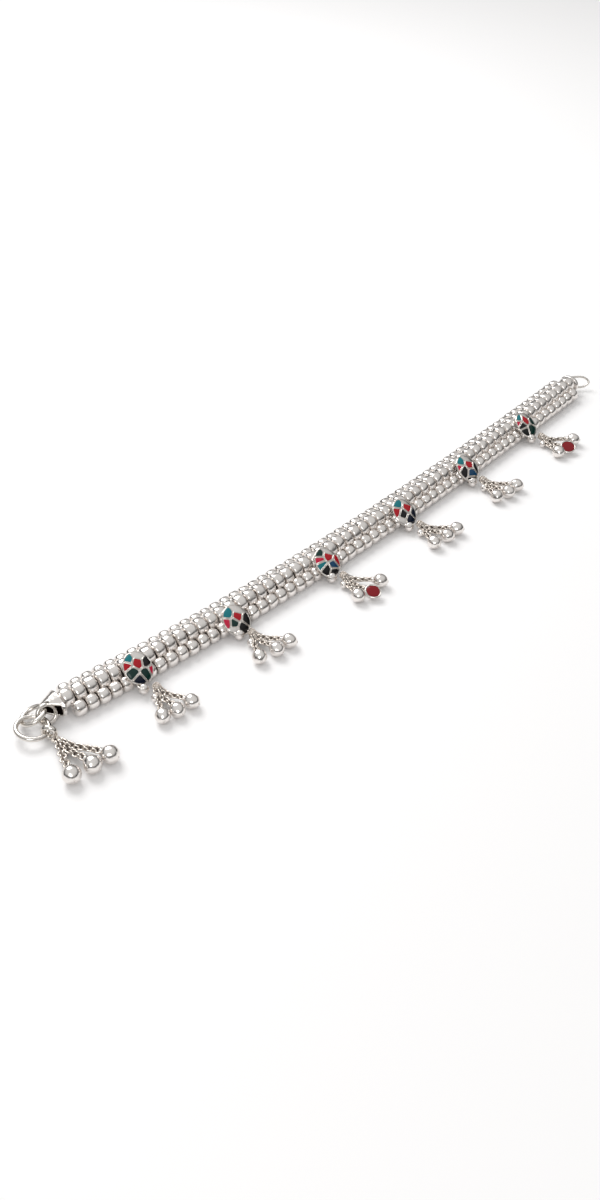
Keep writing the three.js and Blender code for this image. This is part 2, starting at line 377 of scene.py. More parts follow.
@dataclass
class Shape:
    """A mesh in the making: points in millimetres, faces, and a material index for each face."""

    points: list[Vector] = field(default_factory=list)
    faces: list[Face] = field(default_factory=list)
    slots: list[int] = field(default_factory=list)

    def add(
        self, points: Iterable[Sequence[float]], faces: Iterable[Face], slot: int = 0
    ) -> "Shape":
        """Appends points and faces.

        Args:
            points: Points, in millimetres.
            faces: Faces that index those points.
            slot: Material index of the faces.

        Returns:
            This shape.
        """
        base = len(self.points)
        self.points += [Vector(p) for p in points]
        for face in faces:
            self.faces.append(tuple(base + i for i in face))
            self.slots.append(slot)
        return self

    def merge(self, other: "Shape", matrix: Matrix | None = None) -> "Shape":
        """Appends another shape.

        Args:
            other: The shape to append.
            matrix: Where it goes, or nothing where it is placed already.

        Returns:
            This shape.
        """
        base = len(self.points)
        self.points += [matrix @ p if matrix else p.copy() for p in other.points]
        self.faces += [tuple(base + i for i in f) for f in other.faces]
        self.slots += other.slots
        return self

    def moved(self, matrix: Matrix) -> "Shape":
        """A copy of this shape, moved by a matrix."""
        return Shape().merge(self, matrix)

    def bumped(self, depth: float, size: float, seed: float) -> "Shape":
        """Dents the points towards the shape's middle.

        Args:
            depth: Deepest dent, in millimetres.
            size: Distance between dents, in millimetres.
            seed: Moves the pattern, so that two copies differ.

        Returns:
            This shape.
        """
        middle = sum(self.points, Vector()) / len(self.points)
        for point in self.points:
            value = noise.noise(point / size + Vector((seed, 2 * seed, 3 * seed)))
            inward = (middle - point).normalized()
            point += inward * depth * max(0.0, value + 0.1)
        return self

    def mesh(self, name: str) -> bpy.types.Mesh:
        """Writes the shape as a mesh in metres."""
        data = bpy.data.meshes.new(name)
        data.from_pydata([p * MM for p in self.points], [], self.faces)
        data.polygons.foreach_set("material_index", self.slots)
        data.polygons.foreach_set("use_smooth", [True] * len(self.faces))
        data.validate()
        data.update()
        return data


def finished(
    name: str,
    data: bpy.types.Mesh,
    materials: Sequence[bpy.types.Material],
    nodes: Sequence[str],
) -> bpy.types.Object:
    """Makes a piece of the anklet from a mesh, hangs it on the body and hides the CAD nodes that
    it stands for.

    Args:
        name: The piece's name.
        data: Its mesh, in metres, in place.
        materials: Materials in the order of the mesh's indices.
        nodes: The CAD nodes that it stands for.

    Returns:
        The piece.
    """
    piece = bpy.data.objects.new(name, data)
    bpy.context.scene.collection.objects.link(piece)
    for material in materials:
        data.materials.append(material)
    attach(piece, BODY)
    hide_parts(*nodes)
    LOG.info("%s: %d faces", name, len(data.polygons))
    return piece


def lathe(profile: Sequence[tuple[float, float]], sides: int) -> Shape:
    """Turns a profile round the X axis.

    Args:
        profile: (distance along X, radius) from one end to the other; a radius of 0 closes an end.
        sides: Number of faces round the axis.

    Returns:
        The turned shape, closed where the profile meets the axis.
    """
    points: list[Point] = []
    rings: list[list[int]] = []
    for x, radius in profile:
        if radius < 1e-6:
            rings.append([len(points)] * sides)
            points.append((x, 0.0, 0.0))
            continue
        rings.append(list(range(len(points), len(points) + sides)))
        for i in range(sides):
            turn = 2 * math.pi * i / sides
            points.append((x, radius * math.cos(turn), radius * math.sin(turn)))
    faces: list[Face] = []
    for lower, upper in zip(rings, rings[1:]):
        for i in range(sides):
            j = (i + 1) % sides
            corners = [lower[i], upper[i], upper[j], lower[j]]
            face = tuple(dict.fromkeys(corners))
            if len(face) > 2:
                faces.append(face[::-1])
    return Shape().add(points, faces)


def torus(radius: float, wire: float, around: int = 40, across: int = 12) -> Shape:
    """A ring of round wire round the X axis.

    Args:
        radius: To the wire's middle.
        wire: The wire's radius.
        around: Faces along the wire.
        across: Faces round the wire.

    Returns:
        The ring.
    """
    points: list[Point] = []
    faces: list[Face] = []
    for i in range(around):
        turn = 2 * math.pi * i / around
        for j in range(across):
            swing = 2 * math.pi * j / across
            reach = radius + wire * math.cos(swing)
            points.append((wire * math.sin(swing), reach * math.cos(turn), reach * math.sin(turn)))
            a = i * across + j
            b = i * across + (j + 1) % across
            c = ((i + 1) % around) * across + (j + 1) % across
            d = ((i + 1) % around) * across + j
            faces.append((d, c, b, a))
    return Shape().add(points, faces)


def path_mesh(name: str, paths: Sequence[Sequence[Vector]], closed: bool) -> bpy.types.Mesh:
    """Polylines as a mesh of edges, for a node tree to follow.

    Args:
        name: The mesh's name.
        paths: The polylines, in millimetres in the part's frame.
        closed: Whether each one joins up.

    Returns:
        The mesh, in metres.
    """
    points: list[Vector] = []
    edges: list[tuple[int, int]] = []
    for path in paths:
        base = len(points)
        points += [p * MM for p in path]
        edges += [(base + i, base + i + 1) for i in range(len(path) - 1)]
        if closed:
            edges.append((base + len(path) - 1, base))
    data = bpy.data.meshes.new(name)
    data.from_pydata(points, edges, [])
    return data


def smooth_path(points: Sequence[Vector], steps: int) -> list[Vector]:
    """A Catmull-Rom curve through points.

    Args:
        points: Points to pass through.
        steps: Pieces between two of them.

    Returns:
        The curve's points.
    """
    ends = [2 * points[0] - points[1], *points, 2 * points[-1] - points[-2]]
    curve: list[Vector] = []
    for a, b, c, d in zip(ends, ends[1:], ends[2:], ends[3:]):
        for i in range(steps):
            t = i / steps
            curve.append(
                0.5 * (2 * b + (c - a) * t + (2 * a - 5 * b + 4 * c - d) * t**2
                       + (3 * b - a - 3 * c + d) * t**3)
            )
    curve.append(points[-1].copy())
    return curve


# ---- Geometry Nodes ----


class Growth:
    """A Geometry Nodes tree with named inputs, and the means to run it on a mesh."""

    def __init__(self, name: str, sockets: dict[str, tuple[str, Any]]) -> None:
        """Makes an empty tree.

        Args:
            name: The tree's name.
            sockets: Input name to its socket type and starting value.
        """
        self.tree = bpy.data.node_groups.new(name, "GeometryNodeTree")
        face = self.tree.interface
        face.new_socket("Geometry", in_out="OUTPUT", socket_type="NodeSocketGeometry")
        face.new_socket("Geometry", in_out="INPUT", socket_type="NodeSocketGeometry")
        self.sockets: dict[str, str] = {}
        for label, (kind, value) in sockets.items():
            socket = face.new_socket(label, in_out="INPUT", socket_type=kind)
            if value is not None:
                socket.default_value = value
            self.sockets[label] = socket.identifier
        self.source = add_node(self.tree, "NodeGroupInput")

    def give(self, label: str) -> bpy.types.NodeSocket:
        """The output of the group input node for a named input."""
        return self.source.outputs[label]

    def scatter(self, **links: bpy.types.NodeSocket) -> bpy.types.NodeSocket:
        """Adds copies on points, in sizes from the Smallest input to 1.

        Args:
            links: Inputs of Instance on Points to the sockets that feed them.

        Returns:
            The copies.
        """
        size = add_node(
            self.tree, "FunctionNodeRandomValue",
            {"Min": self.give("Smallest"), "Seed": self.give("Seed")}, {"Max": 1.0},
            data_type="FLOAT",
        )
        links["Scale"] = size.outputs["Value"]
        return add_node(self.tree, "GeometryNodeInstanceOnPoints", links).outputs["Instances"]

    def close(self, geometry: bpy.types.NodeSocket) -> None:
        """Ends the tree in Realize Instances, smooth shading and Set Material.

        Args:
            geometry: The geometry to finish.
        """
        real = add_node(self.tree, "GeometryNodeRealizeInstances", {"Geometry": geometry})
        smooth = add_node(
            self.tree, "GeometryNodeSetShadeSmooth", {"Geometry": real.outputs["Geometry"]}
        )
        dressed = add_node(
            self.tree, "GeometryNodeSetMaterial",
            {"Geometry": smooth.outputs["Geometry"], "Material": self.give("Material")},
        )
        add_node(self.tree, "NodeGroupOutput", {"Geometry": dressed.outputs["Geometry"]})

    def grow(self, name: str, source: bpy.types.Mesh, inputs: dict[str, Any]) -> bpy.types.Mesh:
        """Runs the tree on a mesh and returns the plain mesh that it makes.

        Args:
            name: Name of the new mesh.
            source: The mesh that the tree starts from.
            inputs: Values for the tree's named inputs.

        Returns:
            The made mesh.
        """
        holder = bpy.data.objects.new(name + "_source", source)
        bpy.context.scene.collection.objects.link(holder)
        modifier = holder.modifiers.new("growth", "NODES")
        modifier.node_group = self.tree
        for label, value in inputs.items():
            modifier[self.sockets[label]] = value
        bpy.context.view_layer.update()
        graph = bpy.context.evaluated_depsgraph_get()
        made = bpy.data.meshes.new_from_object(holder.evaluated_get(graph), depsgraph=graph)
        made.name = name
        holder.modifiers.remove(modifier)
        bpy.data.objects.remove(holder)
        return made


def wire_growth() -> Growth:
    """A tree that sweeps a round wire along polylines."""
    growth = Growth(
        "silver_wire_sweep",
        {
            "Radius": ("NodeSocketFloat", 0.0005),
            "Sides": ("NodeSocketInt", 12),
            "Material": ("NodeSocketMaterial", None),
        },
    )
    tree = growth.tree
    curve = add_node(tree, "GeometryNodeMeshToCurve", {"Mesh": growth.give("Geometry")})
    section = add_node(
        tree, "GeometryNodeCurvePrimitiveCircle",
        {"Resolution": growth.give("Sides"), "Radius": growth.give("Radius")},
    )
    swept = add_node(
        tree, "GeometryNodeCurveToMesh",
        {"Curve": curve.outputs["Curve"], "Profile Curve": section.outputs["Curve"]},
        {"Fill Caps": True},
    )
    growth.close(swept.outputs["Mesh"])
    return growth


def thread_growth(name: str, alternate: float) -> Growth:
    """A tree that threads copies of a piece along polylines.

    Args:
        name: The tree's name.
        alternate: Turn round the path from one copy to the next, in radians.

    Returns:
        The tree, whose copies have their X axis along the path.
    """
    growth = Growth(
        name,
        {
            "Piece": ("NodeSocketObject", None),
            "Spacing": ("NodeSocketFloat", 0.001),
            "Smallest": ("NodeSocketFloat", 1.0),
            "Dent Size": ("NodeSocketFloat", 0.002),
            "Dent Depth": ("NodeSocketFloat", 0.0),
            "Seed": ("NodeSocketInt", 1),
            "Material": ("NodeSocketMaterial", None),
        },
    )
    tree = growth.tree
    curve = add_node(tree, "GeometryNodeMeshToCurve", {"Mesh": growth.give("Geometry")})
    even = add_node(
        tree, "GeometryNodeResampleCurve",
        {"Curve": curve.outputs["Curve"], "Length": growth.give("Spacing")},
        mode="LENGTH",
    )
    tangent = add_node(tree, "GeometryNodeInputTangent")
    aligned = add_node(
        tree, "FunctionNodeAlignRotationToVector", {"Vector": tangent.outputs["Tangent"]}, axis="X"
    )
    index = add_node(tree, "GeometryNodeInputIndex")
    turn = add_node(
        tree, "ShaderNodeMath", {0: index.outputs["Index"]}, {1: alternate}, operation="MULTIPLY"
    )
    twist = add_node(
        tree, "FunctionNodeAxisAngleToRotation", {"Angle": turn.outputs["Value"]},
        {"Axis": (1.0, 0.0, 0.0)},
    )
    rotation = add_node(
        tree, "FunctionNodeRotateRotation",
        {"Rotation": aligned.outputs["Rotation"], "Rotate By": twist.outputs["Rotation"]},
        rotation_space="LOCAL",
    )
    piece = add_node(tree, "GeometryNodeObjectInfo", {"Object": growth.give("Piece")})
    placed = growth.scatter(
        Points=even.outputs["Curve"], Instance=piece.outputs["Geometry"],
        Rotation=rotation.outputs["Rotation"],
    )
    real = add_node(tree, "GeometryNodeRealizeInstances", {"Geometry": placed})
    rate = add_node(
        tree, "ShaderNodeMath", {1: growth.give("Dent Size")}, {0: 1.0},
        operation="DIVIDE",
    )
    place = add_node(tree, "GeometryNodeInputPosition")
    dents = add_node(
        tree, "ShaderNodeTexNoise",
        {"Vector": place.outputs["Position"], "Scale": rate.outputs["Value"]},
        {"Detail": 1.0, "Roughness": 0.4},
    )
    deep = add_node(
        tree, "ShaderNodeMapRange", {"Value": dents.outputs["Fac"]},
        {"From Min": 0.42, "From Max": 0.75, "To Max": -1.0},
    )
    depth = add_node(
        tree, "ShaderNodeMath",
        {0: deep.outputs["Result"], 1: growth.give("Dent Depth")},
        operation="MULTIPLY",
    )
    normal = add_node(tree, "GeometryNodeInputNormal")
    push = add_node(
        tree, "ShaderNodeVectorMath",
        {"Vector": normal.outputs["Normal"], "Scale": depth.outputs["Value"]},
        operation="SCALE",
    )
    dented = add_node(
        tree, "GeometryNodeSetPosition",
        {"Geometry": real.outputs["Geometry"], "Offset": push.outputs["Vector"]},
    )
    growth.close(dented.outputs["Geometry"])
    return growth


def granule_growth() -> Growth:
    """A tree that sets a small ball on every point of a mesh."""
    growth = Growth(
        "silver_granules",
        {
            "Radius": ("NodeSocketFloat", 0.0003),
            "Smallest": ("NodeSocketFloat", 0.85),
            "Seed": ("NodeSocketInt", 3),
            "Material": ("NodeSocketMaterial", None),
        },
    )
    tree = growth.tree
    ball = add_node(
        tree, "GeometryNodeMeshIcoSphere", {"Radius": growth.give("Radius")}, {"Subdivisions": 2}
    )
    growth.close(growth.scatter(Points=growth.give("Geometry"), Instance=ball.outputs["Mesh"]))
    return growth


class Workshop:
    """The trees that every sub-assembly uses, built once."""

    def __init__(self) -> None:
        """Builds the trees."""
        self.wire = wire_growth()
        self.beads = thread_growth("beads_on_a_thread", alternate=2.4)
        self.links = thread_growth("chain_links", alternate=math.pi / 2)
        self.granules = granule_growth()

    def sweep(
        self, name: str, paths: Sequence[Sequence[Vector]], radius: float, finish: Silver,
        closed: bool = False, sides: int = 12,
    ) -> bpy.types.Mesh:
        """Round wire along polylines.

        Args:
            name: The mesh's name.
            paths: Polylines, in millimetres in the part's frame.
            radius: The wire's radius, in millimetres.
            finish: Its finish.
            closed: Whether the polylines join up.
            sides: Faces round the wire.

        Returns:
            The wire's mesh.
        """
        return self.wire.grow(
            name, path_mesh(name + "_path", paths, closed),
            {"Radius": radius * MM, "Sides": sides, "Material": finish.material()},
        )

    def thread(
        self, growth: Growth, name: str, paths: Sequence[Sequence[Vector]], piece: Shape,
        finish: Silver, **inputs: float,
    ) -> bpy.types.Mesh:
        """Copies of a shape along polylines.

        Args:
            growth: The tree to use.
            name: The mesh's name.
            paths: Polylines, in millimetres in the part's frame.
            piece: The shape to copy, its X axis along the path.
            finish: Its finish.
            inputs: The tree's other inputs, by name with _ for a space.

        Returns:
            The joined copies.
        """
        template = bpy.data.objects.new(name + "_template", piece.mesh(name + "_template"))
        values: dict[str, Any] = {"Piece": template, "Material": finish.material()}
        for key, value in inputs.items():
            values[key.replace("_", " ").title()] = value
        made = growth.grow(name, path_mesh(name + "_path", paths, False), values)
        bpy.data.objects.remove(template)
        return made


def joined(name: str, meshes: Sequence[bpy.types.Mesh]) -> bpy.types.Mesh:
    """Several meshes as one, each keeping its materials.

    Args:
        name: The new mesh's name.
        meshes: The meshes to join.

    Returns:
        The joined mesh.
    """
    shape = Shape()
    materials: list[bpy.types.Material] = []
    for data in meshes:
        first = len(materials)
        materials += list(data.materials)
        base = len(shape.points)
        shape.points += [v.co / MM for v in data.vertices]
        for polygon in data.polygons:
            shape.faces.append(tuple(base + i for i in polygon.vertices))
            shape.slots.append(first + polygon.material_index)
    made = shape.mesh(name)
    for material in materials:
        made.materials.append(material)
    return made


# ---- Bead rows ----


@dataclass
class BeadRow:
    """One thread of hollow silver beads."""

    name: str
    radius: float
    first: float  # arc length of the first bead
    count: int
    sideways: float
    height: float
    squareness: float = 2.9  # of the bead's outline; 2 is round
    half_length: float = 1.84
    hole: float = 0.42
    bore: float = 0.25  # how far the hole goes in before it is closed
    dent_size: float = 2.3
    dent_depth: float = 0.15
    seed: int = 1

    def bead(self) -> Shape:
        """One bead with its axis along X, a cushion with a drilled hole."""
        steps = 18
        profile: list[tuple[float, float]] = []
        start = math.asin(self.hole / self.radius)
        for i in range(steps + 1):
            angle = start + (math.pi - 2 * start) * i / steps
            sine, cosine = math.sin(angle), math.cos(angle)
            across = self.radius * sine ** (2 / self.squareness)
            along = -self.half_length * math.copysign(abs(cosine) ** (2 / self.squareness), cosine)
            profile.append((along, max(self.hole, across)))
        closed = profile + [(profile[-1][0] - self.bore, 0.0)]
        return lathe([(profile[0][0] + self.bore, 0.0)] + closed, 28)

    def path(self) -> list[Vector]:
        """The thread's points, one at each bead."""
        points = []
        for i in range(self.count):
            s = self.first + i * PITCH
            points.append(strap_frame(s) @ Vector((0, self.sideways, self.height)))
        return points

    def build(self, shop: Workshop) -> bpy.types.Object:
        """Threads the beads and the wire that they hang on, painted dark as the shade in the gaps
        between the beads.

        Args:
            shop: The shared trees.

        Returns:
            The finished row.
        """
        path = self.path()
        length = sum((b - a).length for a, b in zip(path, path[1:]))
        beads = shop.thread(
            shop.beads, self.name + "_beads", [path], self.bead(), POLISHED,
            spacing=length / (self.count - 1) * 0.9999 * MM, smallest=0.97,
            dent_size=self.dent_size * MM, dent_depth=self.dent_depth * MM, seed=self.seed,
        )
        # The wire is painted dark, as the shade in the gaps between the beads.
        wire = shop.sweep(self.name + "_wire", [path], self.hole * 0.95, PAINTED_SHADE_THREAD, sides=8)
        mesh = joined(self.name + "_silver", [beads, wire])
        return finished(self.name + "_silver", mesh, [], [self.name])


# ---- Tassels ----


@dataclass
class Bell:
    """A hollow silver bell: a ball with a short neck, a loop on it and a pin hole below."""

    radius: float = 2.15
    neck: float = 0.75
    length: float = 2.9
    stretch: float = 1.12  # of the end away from the neck, which makes it a drop

    def shape(self, seed: float) -> Shape:
        """The bell with its neck towards +X.

        Args:
            seed: Moves its dents.

        Returns:
            The bell's shape, centred on its ball.
        """
        steps = 22
        opening = math.asin(self.neck / self.radius)
        profile: list[tuple[float, float]] = [(-self.radius * self.stretch, 0.0)]
        for i in range(1, steps + 1):
            angle = (math.pi - opening) * i / steps
            pull = self.stretch if angle < math.pi / 2 else 1.0
            profile.append((-self.radius * pull * math.cos(angle), self.radius * math.sin(angle)))
        lip = profile[-1][0]
        profile += [
            (lip + 0.12, self.neck * 1.18),
            (lip + 0.3, self.neck * 1.22),
            (lip + 0.42, self.neck * 0.9),
            (lip + 0.45, 0.0),
        ]
        ball = lathe(profile, 36).bumped(0.14, 1.5, seed)
        loop = torus(self.neck * 0.62, 0.24, 20, 8)
        lift = Matrix.Translation((self.length - self.neck * 0.62 - 0.1, 0, 0))
        ball.merge(loop, lift @ Matrix.Rotation(math.pi / 2, 4, "Z"))
        hole = torus(0.3, 0.09, 16, 8)
        return ball.merge(hole, Matrix.Translation((-self.radius * self.stretch + 0.02, 0, 0)))


@dataclass
class Tassel:
    """Chains that fan out from a point over the surface, with a bell on the end of each."""

    fan: tuple[float, float, float]  # x, distance out and height
    start: float
    angles: tuple[float, float, float]
    reaches: tuple[float, float, float]
    link: float  # radius of a link
    link_wire: float
    strand: float  # half width of a strand

    def along(self, i: int, distance: float, height: float) -> Vector:
        """A point over a leg of the tassel, in the tassel's frame."""
        angle = math.radians(self.angles[i])
        x, out, _ = self.fan
        return Vector((x + distance * math.sin(angle), -out - distance * math.cos(angle), height))

    def facing(self, i: int, place: Matrix, height: float) -> Matrix:
        """The frame of a leg's end, its X axis back towards the fan's middle."""
        turn = math.pi / 2 + math.radians(self.angles[i])
        centre = self.along(i, self.reaches[i], height)
        return place @ Matrix.Translation(centre) @ Matrix.Rotation(turn, 4, "Z")

    def strands(
        self, place: Matrix, necks: Sequence[float], heights: Sequence[float]
    ) -> list[list[Vector]]:
        """The path of each chain, sagging to the surface.

        Args:
            place: The tassel's frame.
            necks: Distance from each piece's centre to its loop.
            heights: Height of each loop.

        Returns:
            Three polylines in the part's frame.
        """
        paths = []
        for i in range(3):
            first, last = self.start, self.reaches[i] - necks[i] - 0.1
            points = []
            for k in range(13):
                t = k / 12
                fall = self.fan[2] * (1 - t) + heights[i] * t - 0.35 * math.sin(math.pi * t)
                sway = 0.22 * math.sin(2 * math.pi * t + i)
                point = self.along(i, first + (last - first) * t, max(fall, self.strand + 0.05))
                points.append(place @ (point + Vector((sway, 0, 0))))
            paths.append(points)
        return paths

    def link_shape(self) -> Shape:
        """One oval link, long along X."""
        link = torus(self.link, self.link_wire, 14, 6)
        upright = Matrix.Rotation(math.pi / 2, 4, "Z")
        return link.moved(Matrix.Diagonal((1.35, 1.0, 1.0, 1.0)) @ upright)

    def chains(
        self, shop: Workshop, name: str, paths: Sequence[Sequence[Vector]]
    ) -> bpy.types.Mesh:
        """Links along the three paths.

        Args:
            shop: The shared trees.
            name: The mesh's name.
            paths: The chains' paths.

        Returns:
            The chains' mesh.
        """
        pairs: list[list[Vector]] = []
        for path in paths:
            across = (path[-1] - path[0]).cross(Vector((0, 0, 1))).normalized() * 0.62 * self.link
            pairs += [[point + side * across for point in path] for side in (-1, 1)]
        links = shop.thread(
            shop.links, name, pairs, self.link_shape(), GRANULES,
            spacing=2.1 * self.link * MM, smallest=0.95, seed=5,
        )
        # The core is painted dark, as the shade in the hollows between the links.
        core = shop.sweep(name + "_core", paths, 0.75 * self.link, PAINTED_SHADE_THREAD, sides=8)
        return joined(name, [links, core])


# ---- Enamelled stations ----


@dataclass(frozen=True)
class Cell:
    """A cloison: its enamel and its middle, along the strap and up the plate's slope."""

    enamel: Enamel
    x: float
    y: float


E = Enamel
CELLS: dict[int, tuple[Cell, ...]] = {
    number: tuple(Cell(*row) for row in rows)
    for number, rows in enumerate((
        (
            (E.TEAL, -1.6, 3.34), (E.RED, -3.0, 1.96), (E.RED, 0.3, 1.33), (E.BLACK, 2.7, 0.37),
            (E.GREEN, -2.5, -0.48), (E.NAVY, -1.5, -3.34), (E.GREEN, 1.2, -2.39),
            (E.ROSE, 3.2, -2.28), (E.BARE, 1.7, 3.34),
        ),
        (
            (E.TEAL, -1.6, 2.70), (E.RED, 0.3, 0.90), (E.ROSE, -3.2, 0.58),
            (E.GREEN, -1.6, -0.26), (E.BLACK, 0.4, -2.70), (E.BLACK, 2.7, -1.22),
            (E.BARE, 2.1, 2.92), (E.BARE, -2.8, -2.70),
        ),
        (
            (E.GREEN, -1.4, 3.55), (E.ROSE, -2.4, 1.85), (E.RED, 1.0, 1.22), (E.RED, 3.1, -0.90),
            (E.SEA, 0.9, -1.43), (E.TEAL, -2.6, 0.16), (E.BLACK, -2.1, -1.54),
            (E.BLACK, -0.1, -3.55), (E.BARE, 2.5, 2.92),
        ),
        (
            (E.TEAL, -1.0, 3.45), (E.RED, 1.5, 0.90), (E.RED, -2.9, 1.43), (E.BLACK, -1.6, -0.26),
            (E.NAVY, 2.9, -1.64), (E.NAVY, -0.1, -2.92), (E.BARE, 3.1, 2.70),
            (E.BARE, -3.5, -2.07),
        ),
        (
            (E.TEAL, -1.8, 3.02), (E.ROSE, -3.3, 1.64), (E.BLACK, -2.6, 0.16), (E.RED, 0.8, 0.69),
            (E.BLACK, 3.0, -1.33), (E.SEA, 0.0, -2.07), (E.BLACK, -1.0, -4.40),
            (E.BARE, 2.3, 2.92),
        ),
        (
            (E.TEAL, -1.9, 3.45), (E.RED, 0.2, 1.64), (E.ROSE, -3.2, 2.07), (E.BLACK, -2.6, 0.48),
            (E.BLACK, -2.9, -1.43), (E.GREEN, 3.0, 0.37), (E.GREEN, 0.4, -2.39),
            (E.BARE, 2.5, 2.92),
        ),
    ), start=1)
}


@dataclass
class Station:
    """An enamelled plate on the strap's shoulder, with the tassel that hangs from its collar."""

    number: int
    at: float  # arc length along the strap
    slip: float  # down the shoulder
    angles: tuple[float, float, float]
    reaches: tuple[float, float, float]
    disc: bool = False
    long: float = 4.7
    wide: float = 4.2
    dome: float = 1.7
    rim: float = 0.42
    clear: float = 4.45
    along: float = -2.5
    face: float = math.radians(50)
    wall: float = 0.34  # silver between two enamels
    proud: float = 0.02  # walls above the plate's ground
    cell_wire: float = 0.17  # radius of the wire of the walls and the border

    @property
    def name(self) -> str:
        """The start of this station's node names."""
        return f"station_{self.number}"

    @property
    def place(self) -> Matrix:
        """The strap's frame at this station."""
        return strap_frame(self.at)

    def plate_frame(self) -> Matrix:
        """The plate's frame: X along the strap, Y up the slope, Z out of the face."""
        down = self.along + self.slip
        out = self.clear * math.cos(self.face) + down * math.sin(self.face)
        up = self.clear * math.sin(self.face) - down * math.cos(self.face)
        tilt = Matrix.Rotation(math.pi / 2 - self.face, 4, "X")
        return self.place @ Matrix.Translation((0, -out, up)) @ tilt

    def swell(self, x: float, y: float) -> float:
        """Height of the plate's ground over its base at a point of its face."""
        share = min(1.0, (x / self.wide) ** 2 + (y / self.long) ** 2)
        return self.rim + (self.dome - self.rim - 0.3) * (1 - share) ** 0.75

    def outline(self, share: float, steps: int = 56) -> list[tuple[float, float]]:
        """The plate's oval, scaled about its middle."""
        turns = [2 * math.pi * i / steps for i in range(steps)]
        return [(share * self.wide * math.cos(t), share * self.long * math.sin(t)) for t in turns]

    def body(self) -> Shape:
        """The domed silver plate, closed below."""
        shares = [0.0, 0.2, 0.4, 0.55, 0.7, 0.82, 0.91, 0.97]
        rings = [
            [(x, y, self.swell(x, y)) for x, y in self.outline(share)] for share in shares[1:]
        ]
        rings.append([(x, y, self.rim * 0.8) for x, y in self.outline(1.0)])
        rings.append([(x, y, self.rim * 0.4) for x, y in self.outline(1.0)])
        rings.append([(x, y, 0.0) for x, y in self.outline(0.94)])
        return capped_rings([(0.0, 0.0, self.swell(0, 0)), *rings, (0.0, 0.0, 0.0)])

    def cell_outline(self, cell: Cell) -> list[tuple[float, float]]:
        """The rounded outline of a cloison: what is nearer its seed than another, less the wall.

        Args:
            cell: The cloison.

        Returns:
            Points round it, on the plate's face.
        """
        polygon = self.outline(0.97)
        for other in CELLS[self.number]:
            if other is cell:
                continue
            across = Vector((other.x - cell.x, other.y - cell.y))
            middle = (other.x**2 + other.y**2 - cell.x**2 - cell.y**2) / 2
            limit = middle - self.wall / 2 * across.length
            polygon = clipped(polygon, across.x, across.y, limit)
        return rounded(polygon, 48, 4)

    def enamels(self) -> tuple[Shape, list[bpy.types.Material], list[list[tuple[float, float]]]]:
        """The enamel of every cloison.

        Returns:
            The enamel pillows, their materials, and the outlines of the cells.
        """
        shape = Shape()
        materials: list[bpy.types.Material] = []
        outlines = []
        for cell in CELLS[self.number]:
            if cell.enamel is Enamel.BARE:
                continue
            outline = self.cell_outline(cell)
            outlines.append(outline)
            cx = sum(p[0] for p in outline) / len(outline)
            cy = sum(p[1] for p in outline) / len(outline)
            rings: list[Any] = []
            for share, lift in ((1.0, -0.02), (0.9, 0.09), (0.7, 0.14), (0.4, 0.16)):
                ring = []
                for x, y in outline:
                    px, py = cx + share * (x - cx), cy + share * (y - cy)
                    ring.append((px, py, self.swell(px, py) + lift))
                rings.append(ring)
            top = (cx, cy, self.swell(cx, cy) + 0.17)
            foot = [(x, y, self.swell(x, y) - 0.3) for x, y in outline]
            under = (cx, cy, self.swell(cx, cy) - 0.3)
            slot = len(materials)
            materials.append(cell.enamel.value.material())
            pillow = capped_rings([top, *rings[::-1], foot, under])
            shape.add(pillow.points, pillow.faces, slot)
        return shape, materials, outlines

    def walls(
        self, outlines: Sequence[Sequence[tuple[float, float]]], place: Matrix
    ) -> list[list[Vector]]:
        """The paths of the wires that wall the cells.

        Args:
            outlines: The cells' outlines on the plate's face.
            place: The plate's frame.

        Returns:
            Closed polylines in the part's frame.
        """
        return [
            [place @ Vector((x, y, self.swell(x, y) + self.proud)) for x, y in outline]
            for outline in outlines
        ]

    def bail(self) -> Shape:
        """The silver bowl under the plate's lower edge, through which the tassel is hung."""
        bowl = lathe(
            [(-1.45, 0.0), (-1.42, 0.5), (-1.2, 1.05), (-0.7, 1.48), (0.0, 1.62),
             (0.7, 1.48), (1.2, 1.05), (1.42, 0.5), (1.45, 0.0)], 30,
        ).bumped(0.12, 1.3, self.number)
        lip = torus(1.3, 0.27, 32, 10)
        tilt = Matrix.Rotation(math.radians(-62), 4, "Y")
        return bowl.merge(lip, Matrix.Translation((-0.35, 0, 0.75)) @ tilt)

    def build(self, shop: Workshop) -> None:
        """Builds every piece of the station.

        Args:
            shop: The shared trees.
        """
        place = self.plate_frame()
        shape, materials, outlines = self.enamels()
        plate = self.body().moved(place)
        plate.merge(self.bail(), self.place @ Matrix.Translation((-1.3, -4.4, 2.0)))
        silver = plate.mesh(self.name + "_dome")
        silver.materials.append(SHEET.material())
        walls = shop.sweep(
            self.name + "_walls", self.walls(outlines, place), self.cell_wire, WIRE,
            closed=True, sides=8,
        )
        border = [place @ Vector((x, y, self.rim * 0.95)) for x, y in self.outline(0.98)]
        edge = shop.sweep(
            self.name + "_border", [border], self.cell_wire, WIRE, closed=True, sides=8
        )
        mesh = joined(self.name + "_plate_silver", [silver, walls, edge])
        node = self.name + "_plate"
        finished(self.name + "_plate_silver", mesh, [], [node])
        enamel = shape.moved(place).mesh(self.name + "_enamel")
        finished(self.name + "_enamel", enamel, materials, [node])
        self.build_collar(shop)
        self.build_tassel(shop)

